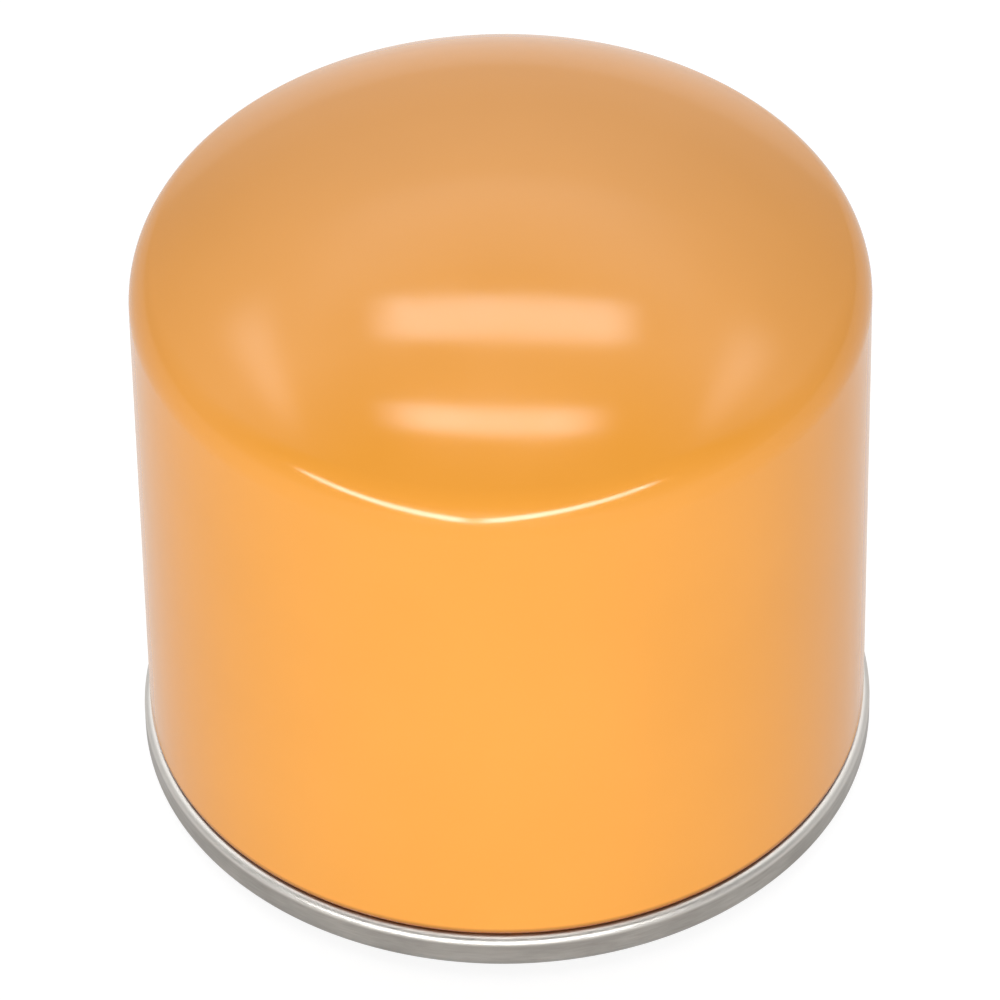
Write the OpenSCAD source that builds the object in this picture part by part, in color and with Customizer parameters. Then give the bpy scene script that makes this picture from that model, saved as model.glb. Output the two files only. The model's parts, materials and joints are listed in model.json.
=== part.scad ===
// Spin-on oil filter for a small engine, standing on its gasket with the dome up.
// Origin: centre of the gasket's sealing face, on the thread axis. +Z runs up to the dome.
// All sizes are in millimetres.

/* [Can] */
// Outside diameter of the drawn steel can
can_od = 76; // [75.6:0.1:76.4]
// Sheet thickness of the can
can_t = 0.4; // [0.36:0.01:0.42]
// Height at which the straight wall turns into the dome
dome_start = 60.5; // [59.5:0.1:62]
// Outside radius of the bend between wall and dome
knuckle_r = 6.3; // [5.5:0.1:7.2]
// Outside radius of the shallow dome
crown_r = 59; // [57:0.5:61]

/* [Double seam] */
// Height of the seam's lowest point above the gasket's sealing face
seam_base = 1.3; // [1.1:0.1:1.4]
// Height of the seam
seam_h = 4.05; // [4:0.05:4.2]
// How far the seam stands out from the can wall
seam_proud = 0.65; // [0.6:0.01:0.7]
// Sheet thickness of the seam cover
cover_t = 0.45; // [0.42:0.01:0.46]
// Free space between two layers of sheet in the seam
layer_gap = 0.03; // [0.02:0.01:0.04]
// Diameter of the seam cover's central opening
cover_opening = 50; // [49:0.5:52]

/* [Thread plate] */
// Thickness of the thread plate
plate_t = 3; // [2.9:0.05:3.1]
// Radius of the bore at the thread's crests, for a three-quarter inch 16-pitch thread
thread_r = 8.75; // [8.7:0.01:8.8]
// Outside radius of the extruded hub
hub_r = 11.2; // [11.1:0.05:11.2]
// Height of the hub's free end above the sealing face
hub_top = 13.2; // [12.8:0.1:13.6]
// Number of inlet holes
inlet_count = 8; // [6:1:8]
// Diameter of an inlet hole
inlet_d = 6.5; // [6:0.1:6.6]
// Diameter of the circle the inlet holes stand on
inlet_pcd = 40; // [39.8:0.1:40.2]

/* [Gasket] */
// Inside diameter of the gasket
gasket_id = 61.8; // [61.7:0.05:61.9]
// Outside diameter of the gasket
gasket_od = 69.4; // [68.5:0.1:70]
// Thickness of the gasket
gasket_h = 5; // [4.95:0.05:5.1]

/* [Filter element] */
// Outside radius of both end caps
cap_r = 33.8; // [33.5:0.1:34]
// Sheet thickness of the end caps, the centre tube and the bypass cage
cap_t = 0.5; // [0.45:0.01:0.5]
// Underside of the lower end cap
element_base = 9.65; // [9.65:0.05:9.75]
// Top of the upper end cap
element_top = 63; // [62.8:0.05:63]
// Length of an end cap's turned rim
cap_rim = 4.1; // [3.8:0.1:4.4]
// Thickness of the potting compound in each end cap
potting_t = 2.35; // [2.2:0.05:2.6]
// How deep the pleats stand in the potting
pleat_bite = 1.25; // [1:0.05:1.4]
// Number of pleats
pleat_count = 48; // [44:1:50]
// Thickness of the filter paper
paper_t = 0.65; // [0.6:0.01:0.66]
// Outside radius of the pleats
pleat_ro = 32.8; // [32.6:0.05:32.9]
// Inside radius of the pleats
pleat_ri = 15.9; // [15.8:0.05:16]
// Outside radius of the centre tube
tube_r = 15.4; // [15.3:0.05:15.5]
// Diameter of a hole in the centre tube
tube_hole_d = 5; // [4:0.1:5.4]
// Rows of holes in the centre tube
tube_rows = 6; // [4:1:6]
// Holes in one row of the centre tube
tube_row_holes = 8; // [6:1:8]

/* [Bypass valve] */
// Radius of the valve opening in the upper end cap
seat_r = 6.5; // [6.2:0.1:6.8]
// Outside radius of the valve disc
disc_r = 8.9; // [8.7:0.05:9]
// Thickness of the valve seal
seal_t = 0.8; // [0.7:0.05:0.9]
// Wire diameter of the valve spring
wire_d = 0.9; // [0.8:0.05:1]
// Turns in the valve spring
coil_turns = 5; // [4.5:0.25:5.5]
// Mean radius of the valve spring
coil_r = 6.3; // [6:0.05:6.6]
// Depth of the cage below the upper end cap's top
cage_depth = 13; // [12.5:0.1:14]

/* [Element spring] */
// Thickness of the leaf spring
leaf_t = 0.8; // [0.7:0.05:0.8]
// Width of one leaf
leaf_w = 7.5; // [6:0.5:8]
// Number of leaves
leaf_count = 4; // [3:1:4]

/* [Hidden] */
$fn = 96;
// Small free space between pieces that only touch
touch = 0.05;
can_r = can_od / 2;
seam_r = can_r + seam_proud;
seam_top = seam_base + seam_h;
// Radii of the seam's five layers of sheet, at mid thickness, from outside to inside
wall_5 = seam_r - cover_t / 2;
hook_4 = wall_5 - cover_t / 2 - layer_gap - can_t / 2;
hook_3 = hook_4 - can_t / 2 - layer_gap - cover_t / 2;
wall_2 = hook_3 - cover_t / 2 - layer_gap - can_t / 2;
wall_1 = wall_2 - can_t / 2 - layer_gap - cover_t / 2;
// Mid thickness heights of the seam's lower and upper folds
fold_low = seam_base + cover_t / 2;
fold_high = seam_top - cover_t / 2;
fold_body = seam_base + cover_t + 0.08 + can_t / 2;
cover_hook_end = seam_base + 1.75;
body_hook_end = seam_top - 0.8;
neck_top = seam_top + 0.5;
neck_bottom = seam_top - 0.3;
// The crown and the knuckle meet where both have this surface angle
join_angle = acos((can_r - knuckle_r) / (crown_r - knuckle_r));
crown_mid = crown_r - can_t / 2;
crown_centre = dome_start - (crown_r - knuckle_r) * sin(join_angle);
knuckle_mid = knuckle_r - can_t / 2;
gasket_ri = gasket_id / 2;
gasket_ro = gasket_od / 2;
// The seam cover: a flat under the plate, then a channel for the gasket
channel_wall = gasket_ri - touch - cover_t / 2;
channel_top = gasket_h + cover_t / 2;
plate_z = seam_base + 1.35;
plate_top = plate_z + plate_t;
plate_r = channel_wall - cover_t / 2 - 0.3;
cap_floor = element_base + cap_t;
cap_ceiling = element_top - cap_t;
low_potting_top = cap_floor + potting_t;
high_potting_base = cap_ceiling - potting_t;
potting_ro = cap_r - cap_t;
collar_r = hub_r + touch;
sleeve_r = collar_r + 1.35;
collar_foot_r = 15.3;
cap_hole_r = sleeve_r + 0.1;
lip_seat_r = 26.4;
lip_r = 27.2;
lip_t = 1;
cage_r = 10.2;
cage_floor = element_top - cage_depth;
seal_r = 9.4;
disc_t = 1;
disc_top = cap_ceiling - seal_t;
boss_r = 4.9;
boss_h = 1.2;
post_w = 5;
spring_low = cage_floor + cap_t;
spring_high = disc_top - disc_t;
leaf_hub_ri = 5;
leaf_hub_ro = 10;
// The leaves' flat corners meet the dome from inside at this radius
leaf_contact_r = norm([leaf_hub_ro + 0.7, leaf_w / 2]);
crown_inside = crown_r - can_t;
leaf_top = crown_centre + sqrt(crown_inside * crown_inside - leaf_contact_r * leaf_contact_r) - touch;
// Half widths of a pleat's folds: paper outside at the tip, air inside it, and the same at the valley
tip_half = 0.9;
tip_air = tip_half - paper_t;
valley_half = 0.8;
valley_air = valley_half - paper_t;
clip_t = 0.28;
clip_half = 1.02;
clip_depth = 3.6;

// ---- Bent sheet: a path of [radius, height, bend radius] points at mid thickness ----

function unit(v) = v / norm(v);
function flat(p) = [p[0], p[1]];
function turn(a, b, c) = cross(flat(b) - flat(a), flat(c) - flat(b)) > 0 ? 1 : -1;
function left_of(a, b) = let (d = unit(flat(b) - flat(a))) [-d[1], d[0]];
function arc(c, r, from, sweep) =
    let (n = max(3, ceil(abs(sweep) / (r > 5 ? 2 : 15))))
    [for (i = [0 : n]) c + r * [cos(from + sweep * i / n), sin(from + sweep * i / n)]];
// One bend of the path, seen at a distance off to the left of the path
function bend(a, b, c, off) =
    let (
        back = unit(flat(a) - flat(b)),
        ahead = unit(flat(c) - flat(b)),
        half = acos(back * ahead) / 2,
        centre = flat(b) + unit(back + ahead) * b[2] / sin(half),
        start = flat(b) + back * b[2] / tan(half) - centre,
        side = turn(a, b, c)
    )
    arc(centre, b[2] - side * off, atan2(start[1], start[0]), side * (180 - 2 * half));
function edge(path, off) =
    let (last = len(path) - 1)
    [for (i = [0 : last]) each
        i == 0 ? [flat(path[0]) + off * left_of(path[0], path[1])]
        : i == last ? [flat(path[last]) + off * left_of(path[last - 1], path[last])]
        : bend(path[i - 1], path[i], path[i + 1], off)];
function reversed(list) = [for (i = [len(list) - 1 : -1 : 0]) list[i]];
function distinct(list) =
    [for (i = [0 : len(list) - 1]) if (i == 0 || norm(list[i] - list[i - 1]) > 0.001) list[i]];
function sheet(path, t) = concat(distinct(edge(path, t / 2)), reversed(distinct(edge(path, -t / 2))));

module sheet_ring(path, t) {
    rotate_extrude() polygon(sheet(path, t));
}

module tube(ri, ro, low, high) {
    translate([0, 0, low]) difference() {
        cylinder(r = ro, h = high - low);
        translate([0, 0, -1]) cylinder(r = ri, h = high - low + 2);
    }
}

// ---- Shell ----

// Drawn can: dome, knuckle, straight wall, short neck, and the hook that is rolled into the seam
module can() {
    mid_r = can_r - can_t / 2;
    path = [
        [0, crown_centre + crown_mid],
        [crown_mid * tan((90 - join_angle) / 2), crown_centre + crown_mid, crown_mid],
        [mid_r, dome_start + knuckle_mid * tan(join_angle / 2), knuckle_mid],
        [mid_r, neck_top, 0.5],
        [wall_2, neck_bottom, 0.5],
        [wall_2, fold_body, (hook_4 - wall_2) / 2],
        [hook_4, fold_body, (hook_4 - wall_2) / 2],
        [hook_4, body_hook_end]
    ];
    color([0.95, 0.58, 0.2]) sheet_ring(path, can_t);
}

// Seam cover: flat ring under the thread plate, gasket channel, and the outer layers of the seam
module seam_cover() {
    path = [
        [cover_opening / 2, plate_z - cover_t / 2],
        [channel_wall, plate_z - cover_t / 2, 0.7],
        [channel_wall, channel_top, 0.6],
        [wall_1, channel_top, 0.8],
        [wall_1, fold_low, (wall_5 - wall_1) / 2],
        [wall_5, fold_low, (wall_5 - wall_1) / 2],
        [wall_5, fold_high, (wall_5 - hook_3) / 2],
        [hook_3, fold_high, (wall_5 - hook_3) / 2],
        [hook_3, cover_hook_end]
    ];
    color([0.75, 0.74, 0.7]) sheet_ring(path, cover_t);
}

// Sealing compound that fills the fold of the can's hook under the end of the cover's hook
module seam_sealant() {
    half = cover_t / 2 + layer_gap - 0.02;
    color([0.85, 0.84, 0.8])
        tube(hook_3 - half, hook_3 + half, fold_body + (hook_4 - wall_2) / 2, cover_hook_end - 0.02);
}

// Thick plate with the threaded hub that is drawn inward, and a ring of inlet holes
module thread_plate() {
    mouth = 0.95;
    break_edge = 0.4;
    fillet = 0.8;
    outline = concat(
        [
            [thread_r + mouth, plate_z],
            [thread_r, plate_z + mouth],
            [thread_r, hub_top - break_edge],
            [thread_r + break_edge, hub_top],
            [hub_r - break_edge, hub_top],
            [hub_r, hub_top - break_edge]
        ],
        arc([hub_r + fillet, plate_top + fillet], fillet, 180, 90),
        [
            [plate_r - break_edge, plate_top],
            [plate_r, plate_top - break_edge],
            [plate_r, plate_z + 0.6],
            [plate_r - 0.6, plate_z]
        ]
    );
    color([0.62, 0.62, 0.6]) difference() {
        rotate_extrude() polygon(outline);
        for (i = [0 : inlet_count - 1])
            rotate([0, 0, 360 * (i + 0.5) / inlet_count])
                translate([inlet_pcd / 2, 0, plate_z - 1])
                    cylinder(d = inlet_d, h = plate_t + 2);
    }
}

// Square-cut sealing ring in the cover's channel
module gasket() {
    corner = 0.35;
    color([0.08, 0.08, 0.08]) rotate_extrude() polygon([
        [gasket_ri + corner, 0],
        [gasket_ro - corner, 0],
        [gasket_ro, corner],
        [gasket_ro, gasket_h - corner],
        [gasket_ro - corner, gasket_h],
        [gasket_ri + 0.8, gasket_h],
        [gasket_ri, gasket_h - 0.8],
        [gasket_ri, corner]
    ]);
}

// ---- Valves ----

// Rubber drain-back valve: a collar round the hub, and a lip that lies over the inlet holes
module drain_back_valve() {
    shoulder = element_base - touch;
    sleeve_top = shoulder + 2.8;
    outline = [
        [collar_r, plate_top + 1.1],
        [collar_r + 1.1, plate_top],
        [collar_foot_r, plate_top],
        [collar_foot_r + 0.6, plate_top + 1.6],
        [inlet_pcd / 2, plate_top + 1.75],
        [lip_seat_r - 1.8, plate_top + 0.7],
        [lip_seat_r, plate_top],
        [lip_r - 0.2, plate_top],
        [lip_r, plate_top + 0.45],
        [lip_seat_r - 1.5, plate_top + 0.7 + lip_t],
        [inlet_pcd / 2 + 0.2, plate_top + 1.75 + lip_t],
        [collar_foot_r + 0.8, plate_top + 1.9 + lip_t],
        [collar_foot_r + 0.2, shoulder],
        [sleeve_r, shoulder],
        [sleeve_r, sleeve_top - 0.4],
        [sleeve_r - 0.4, sleeve_top],
        [collar_r, sleeve_top]
    ];
    color([0.12, 0.12, 0.13]) rotate_extrude() polygon(outline);
}

// Cage that hangs in the centre tube, holds the spring and lets oil out at its sides
module bypass_cage() {
    mid = cage_r - cap_t / 2;
    path = [
        [mid + 3.4, cap_ceiling - cap_t / 2],
        [mid, cap_ceiling - cap_t / 2, 0.5],
        [mid, cage_floor + cap_t / 2, 0.8],
        [3, cage_floor + cap_t / 2]
    ];
    window_w = 2 * cage_r * sin(45) - post_w;
    window_low = cage_floor + 2.5;
    window_high = cap_ceiling - 1.5;
    color([0.72, 0.72, 0.7]) difference() {
        sheet_ring(path, cap_t);
        for (i = [0 : 1])
            rotate([0, 0, 90 * i])
                translate([-cage_r - 1, -window_w / 2, window_low])
                    cube([2 * cage_r + 2, window_w, window_high - window_low]);
    }
}

// Valve disc with a boss that centres the spring
module bypass_disc() {
    color([0.8, 0.79, 0.75]) union() {
        translate([0, 0, disc_top - disc_t]) cylinder(r = disc_r, h = disc_t);
        translate([0, 0, disc_top - disc_t - boss_h]) cylinder(r1 = boss_r - 0.4, r2 = boss_r, h = boss_h + 0.2);
    }
}

// Flat sealing ring bonded under the valve opening
module bypass_seal() {
    color([0.15, 0.13, 0.12]) tube(seat_r, seal_r, cap_ceiling - seal_t, cap_ceiling);
}

// Compression spring with closed end turns
module bypass_spring() {
    around = 8;
    steps = 24;
    total = ceil(coil_turns * steps);
    closed = 0.9;
    low = spring_low + wire_d / 2 + 0.01;
    high = spring_high - wire_d / 2 - 0.01;
    rise = high - low - 2 * closed * wire_d;
    function climb(t) =
        t < closed ? t * wire_d
        : t > coil_turns - closed ? high - low - (coil_turns - t) * wire_d
        : closed * wire_d + rise * (t - closed) / (coil_turns - 2 * closed);
    points = [
        for (i = [0 : total], j = [0 : around - 1])
            let (
                t = coil_turns * i / total,
                a = 360 * t,
                b = 360 * j / around,
                r = coil_r + wire_d / 2 * cos(b)
            )
            [r * cos(a), r * sin(a), low + climb(t) + wire_d / 2 * sin(b)]
    ];
    sides = [
        for (i = [0 : total - 1], j = [0 : around - 1])
            let (k = (j + 1) % around)
            each [
                [i * around + j, i * around + k, (i + 1) * around + k],
                [i * around + j, (i + 1) * around + k, (i + 1) * around + j]
            ]
    ];
    ends = [
        [for (j = [around - 1 : -1 : 0]) j],
        [for (j = [0 : around - 1]) total * around + j]
    ];
    color([0.6, 0.6, 0.6]) polyhedron(points, concat(sides, ends));
}

// ---- Filter element ----

function polar(r, a) = r * [cos(a), sin(a)];
function degrees_wide(w, r) = asin(w / r);
// Star outline with flat valleys and flat tips
function star(valley_r, valley_w, tip_r, tip_w) = [
    for (i = [0 : pleat_count - 1])
        let (
            valley = 360 * i / pleat_count,
            tip = valley + 180 / pleat_count,
            v = degrees_wide(valley_w, valley_r),
            t = degrees_wide(tip_w, tip_r)
        )
        each [
            polar(valley_r, valley - v),
            polar(valley_r, valley + v),
            polar(tip_r, tip - t),
            polar(tip_r, tip + t)
        ]
];

module pleats(low, high) {
    translate([0, 0, low]) linear_extrude(high - low) difference() {
        polygon(star(pleat_ri + paper_t, valley_air, pleat_ro, tip_half));
        polygon(star(pleat_ri, valley_half, pleat_ro - paper_t, tip_air));
    }
}

// Pleated filter paper, its ends set into the potting
module pleated_paper() {
    color([0.86, 0.76, 0.52]) pleats(low_potting_top - pleat_bite, high_potting_base + pleat_bite);
}

// Thin steel channel that clamps the paper's two ends together over one pleat
module paper_seam_clip() {
    out = pleat_ro + touch;
    color([0.7, 0.7, 0.68]) rotate([0, 0, 180 / pleat_count]) translate([0, 0, low_potting_top])
        linear_extrude(high_potting_base - low_potting_top) polygon([
            [out - clip_depth, clip_half],
            [out, clip_half],
            [out, -clip_half],
            [out - clip_depth, -clip_half],
            [out - clip_depth, -clip_half - clip_t],
            [out + clip_t, -clip_half - clip_t],
            [out + clip_t, clip_half + clip_t],
            [out - clip_depth, clip_half + clip_t]
        ]);
}

// Dish under the element, with a turned-up rim and a turned-up centre round the valve's sleeve
module lower_end_cap() {
    mid = element_base + cap_t / 2;
    path = [
        [cap_hole_r + cap_t / 2, element_base + 2.9],
        [cap_hole_r + cap_t / 2, mid, 0.6],
        [cap_r - cap_t / 2, mid, 0.8],
        [cap_r - cap_t / 2, element_base + cap_rim]
    ];
    color([0.74, 0.73, 0.69]) sheet_ring(path, cap_t);
}

// Dish over the element, with a turned-down rim and the bypass valve's opening
module upper_end_cap() {
    mid = element_top - cap_t / 2;
    path = [
        [seat_r, mid],
        [cap_r - cap_t / 2, mid, 0.8],
        [cap_r - cap_t / 2, element_top - cap_rim]
    ];
    color([0.74, 0.73, 0.69]) sheet_ring(path, cap_t);
}

// Ring of potting with one edge eased where the end cap's bend runs
module potting(floor_z, free_z) {
    ease = 0.6;
    way = sign(free_z - floor_z);
    difference() {
        rotate_extrude() polygon([
            [tube_r, floor_z],
            [potting_ro - ease, floor_z],
            [potting_ro, floor_z + way * ease],
            [potting_ro, free_z],
            [tube_r, free_z]
        ]);
        pleats(min(free_z - way * pleat_bite, free_z + way), max(free_z - way * pleat_bite, free_z + way));
    }
}

module lower_potting() {
    color([0.35, 0.33, 0.3]) potting(cap_floor, low_potting_top);
}

module upper_potting() {
    color([0.35, 0.33, 0.3]) potting(cap_ceiling, high_potting_base);
}

// Perforated tube that keeps the pleats from collapsing inward
module centre_tube() {
    margin = 8;
    row_step = (cap_ceiling - cap_floor - 2 * margin) / (tube_rows - 1);
    color([0.7, 0.7, 0.67]) difference() {
        tube(tube_r - cap_t, tube_r, cap_floor, cap_ceiling);
        for (row = [0 : tube_rows - 1], i = [0 : tube_row_holes - 1])
            rotate([0, 0, 360 * (i + 0.25 + (row % 2) / 2) / tube_row_holes])
                translate([tube_r - 3, 0, cap_floor + margin + row * row_step])
                    rotate([0, 90, 0])
                        cylinder(d = tube_hole_d, h = 6);
    }
}

// Leaf spring between the dome and the upper end cap
module element_spring() {
    mid = leaf_top - leaf_t / 2;
    foot = element_top + leaf_t / 2 + touch;
    leaf = [
        [leaf_hub_ro - 1.5, mid],
        [leaf_hub_ro + 1.6, mid, 2.5],
        [21.5, foot + 0.9, 3],
        [26.2, foot, 1],
        [28, foot + 1.1]
    ];
    color([0.5, 0.5, 0.52]) union() {
        tube(leaf_hub_ri, leaf_hub_ro, leaf_top - leaf_t, leaf_top);
        for (i = [0 : leaf_count - 1])
            rotate([0, 0, 360 * (i + 0.5) / leaf_count])
                rotate([90, 0, 0])
                    translate([0, 0, -leaf_w / 2]) linear_extrude(leaf_w) polygon(sheet(leaf, leaf_t));
    }
}

can();
thread_plate();
seam_cover();
seam_sealant();
gasket();
drain_back_valve();
lower_end_cap();
upper_end_cap();
lower_potting();
upper_potting();
pleated_paper();
paper_seam_clip();
centre_tube();
bypass_cage();
bypass_disc();
bypass_seal();
bypass_spring();
element_spring();
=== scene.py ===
"""The looks of the oil filter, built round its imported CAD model."""

import json
import math

import bpy
import numpy as np
from mathutils import Matrix, Vector


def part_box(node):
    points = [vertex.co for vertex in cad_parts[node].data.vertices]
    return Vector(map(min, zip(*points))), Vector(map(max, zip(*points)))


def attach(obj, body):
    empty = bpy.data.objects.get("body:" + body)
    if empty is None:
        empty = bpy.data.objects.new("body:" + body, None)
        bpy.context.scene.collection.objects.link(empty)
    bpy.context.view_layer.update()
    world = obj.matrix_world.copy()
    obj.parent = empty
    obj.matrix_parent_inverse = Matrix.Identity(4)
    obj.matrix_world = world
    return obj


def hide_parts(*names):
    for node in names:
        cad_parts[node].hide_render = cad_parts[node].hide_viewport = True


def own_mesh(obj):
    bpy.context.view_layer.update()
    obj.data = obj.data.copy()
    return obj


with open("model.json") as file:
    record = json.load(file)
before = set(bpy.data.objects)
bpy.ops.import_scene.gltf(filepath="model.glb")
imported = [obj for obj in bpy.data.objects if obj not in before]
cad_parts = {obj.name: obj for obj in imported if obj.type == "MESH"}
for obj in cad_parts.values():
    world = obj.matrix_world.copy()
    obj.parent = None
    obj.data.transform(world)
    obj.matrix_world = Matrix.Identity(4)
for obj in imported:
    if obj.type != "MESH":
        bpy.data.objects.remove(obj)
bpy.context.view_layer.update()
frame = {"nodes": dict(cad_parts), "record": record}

# ---------------------------------------------------------------- sizes, in millimetres
# Places come from the frame. Sheet thicknesses, fits and bends repeat the CAD part's own values.

MM = 0.001


def node_box(name):
    low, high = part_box(name)
    return Vector(low) / MM, Vector(high) / MM


def mount_radius(name):
    return next(m["dims"]["r_mm"] for m in frame["record"]["mounts"] if m["name"] == name)


can_high = node_box("can")[1]
cover_low, cover_high = node_box("seam_cover")
gasket_high = node_box("gasket")[1]
plate_low, plate_high = node_box("thread_plate")
valve_high = node_box("drain_back_valve")[1]
disc_low, disc_high = node_box("bypass_disc")
spring_low, spring_high = node_box("bypass_spring")
paper_low, paper_high = node_box("pleated_paper")

CAN_R = mount_radius("can_grip")
CAN_T = 0.4
COVER_T = 0.45
LAYER_GAP = 0.03
KNUCKLE_R = 6.3
CROWN_R = 59.0
CROWN_CENTRE = can_high.z - CROWN_R
JOIN = math.acos((CAN_R - KNUCKLE_R) / (CROWN_R - KNUCKLE_R))
DOME_START = CROWN_CENTRE + (CROWN_R - KNUCKLE_R) * math.sin(JOIN)

SEAM_R = cover_high.x
SEAM_BASE = cover_low.z
SEAM_TOP = SEAM_BASE + 4.05
WALL_5 = SEAM_R - COVER_T / 2
HOOK_4 = WALL_5 - COVER_T / 2 - LAYER_GAP - CAN_T / 2
HOOK_3 = HOOK_4 - CAN_T / 2 - LAYER_GAP - COVER_T / 2
WALL_2 = HOOK_3 - COVER_T / 2 - LAYER_GAP - CAN_T / 2
WALL_1 = WALL_2 - CAN_T / 2 - LAYER_GAP - COVER_T / 2
FOLD_BODY = SEAM_BASE + COVER_T + 0.08 + CAN_T / 2

GASKET_RI = 30.9
GASKET_RO = gasket_high.x
GASKET_H = gasket_high.z
CHANNEL_WALL = GASKET_RI - 0.05 - COVER_T / 2
CHANNEL_TOP = GASKET_H + COVER_T / 2
COVER_OPENING_R = 25.0

PLATE_Z = plate_low.z
PLATE_TOP = PLATE_Z + 3.0
PLATE_R = plate_high.x
HUB_R = 11.2
HUB_TOP = plate_high.z
HUB_FILLET = 0.8
BORE_R = mount_radius("engine_thread")
BORE_MOUTH = 0.95
THREAD_PITCH = 25.4 / 16
THREAD_DEPTH = 0.775
INLETS = 8
INLET_R = 3.25
INLET_CIRCLE = 20.0
INLET_EDGE = 0.3
HUB_FOOT = HUB_R + HUB_FILLET + 0.2
RIM_START = PLATE_R - 0.8
SECTOR_ACROSS = 20
SECTOR_OUT = 10
ROWS_PER_PITCH = 20

WELDS = 8
WELD_CIRCLE = 27.4
WELD_SPOT = 1.8
WELD_DEPTH = 0.16

COLLAR_R = HUB_R + 0.05
SLEEVE_R = COLLAR_R + 1.35
COLLAR_FOOT = 15.3
SHOULDER = valve_high.z - 2.8
LIP_SEAT = 26.4
LIP_R = valve_high.x
LIP_T = 1.0

DISC_R = disc_high.x
DISC_T = 1.0
BOSS_R = 4.9
WIRE = 0.9
COIL_R = spring_high.x - WIRE / 2
COIL_TURNS = 5
CLOSED_TURNS = 0.9

PLEATS = 48
PLEAT_RO = 32.8
PLEAT_RI = 15.9
PAPER_T = 0.65
TIP_HALF = 0.9
VALLEY_HALF = 0.8


# ---------------------------------------------------------------- outlines: (r, z, normal r, normal z)


def arc(centre, r, start, sweep, step=6.0, normal=1):
    """An arc whose shading normals point away from its centre, or to it with normal -1."""
    n = max(3, math.ceil(abs(math.degrees(sweep)) / step))
    points = []
    for i in range(n + 1):
        a = start + sweep * i / n
        c, s = math.cos(a), math.sin(a)
        points.append((centre[0] + r * c, centre[1] + r * s, normal * c, normal * s))
    return points


def corner(before, at, after, r):
    """Where an arc of radius r rounds a corner: its centre, first angle and sweep."""
    at = np.array(at[:2], float)
    back = np.array(before[:2], float) - at
    ahead = np.array(after[:2], float) - at
    back /= np.linalg.norm(back)
    ahead /= np.linalg.norm(ahead)
    half = math.acos(max(-1.0, min(1.0, float(back @ ahead)))) / 2
    middle = (back + ahead) / np.linalg.norm(back + ahead)
    centre = at + middle * r / math.sin(half)
    start = at + back * r / math.tan(half) - centre
    turn = 1 if back[1] * ahead[0] - back[0] * ahead[1] > 0 else -1
    return centre, math.atan2(start[1], start[0]), turn * (math.pi - 2 * half), turn


def left_of(a, b):
    d = np.array(b[:2], float) - np.array(a[:2], float)
    d /= np.linalg.norm(d)
    return np.array([-d[1], d[0]])


def sheet_side(path, off, step):
    """One side of a bent sheet, whose path holds (r, z, bend radius) at mid thickness."""
    sign = 1 if off > 0 else -1
    first, last = left_of(path[0], path[1]), left_of(path[-2], path[-1])
    out = [(*(np.array(path[0][:2]) + off * first), *(sign * first))]
    for before, at, after in zip(path, path[1:], path[2:]):
        centre, start, sweep, turn = corner(before, at, after, at[2])
        fine = step / 4 if at[2] > 5 else step
        out += arc(centre, at[2] - turn * off, start, sweep, fine, -turn * sign)
    out.append((*(np.array(path[-1][:2]) + off * last), *(sign * last)))
    return [out[0]] + [q for p, q in zip(out, out[1:]) if math.dist(p[:2], q[:2]) > 1e-4]


def cut_edge(p, q, away):
    """The cut edge of a sheet between two side points, facing away from the point given."""
    d = np.array([q[1] - p[1], p[0] - q[0]], float)
    d /= np.linalg.norm(d)
    if d @ (np.array(p[:2]) - np.array(away[:2])) < 0:
        d = -d
    return [(*p[:2], *d), (*q[:2], *d)]


def sheet_outline(path, t, step=6.0):
    """A bent sheet's runs: its two sides and its cut edges, one of them absent on the axis."""
    left, right = sheet_side(path, t / 2, step), sheet_side(path, -t / 2, step)
    runs = [left, right, cut_edge(left[-1], right[-1], left[-2])]
    if left[0][0] > 1e-6:
        runs.append(cut_edge(left[0], right[0], left[1]))
    return runs


def eased_outline(points, ease=0.12, step=22.5, closed=True):
    """Straight edges with rounded corners, each with its own radius or else the ease given.

    An outline that isn't closed keeps the solid on its left.
    """
    n = len(points)
    turning = sum(a[0] * b[1] - b[0] * a[1] for a, b in zip(points, points[1:] + points[:1]))
    outward = 1 if turning > 0 or not closed else -1
    out = []
    for i, at in enumerate(points):
        before, after = points[i - 1], points[(i + 1) % n]
        if not closed and i in (0, n - 1):
            pair = (at, after) if i == 0 else (before, at)
            out.append((*at[:2], *(-outward * left_of(*pair))))
            continue
        r = at[2] if len(at) > 2 else ease
        centre, start, sweep, turn = corner(before, at, after, r)
        out += arc(centre, r, start, sweep, step, turn * outward)
    return [out + out[:1]] if closed else [out]


def fine_flats(runs, step):
    """Adds points along the flat stretches of an outline."""
    out = []
    for run in runs:
        made = [run[0]]
        for p, q in zip(run, run[1:]):
            n = max(1, math.ceil(math.dist(p[:2], q[:2]) / step)) if abs(p[3]) > 0.99 < abs(q[3]) else 1
            made += [tuple(a + (b - a) * k / n for a, b in zip(p, q)) for k in range(1, n + 1)]
        out.append(made)
    return out


# ---------------------------------------------------------------- meshes


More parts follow.
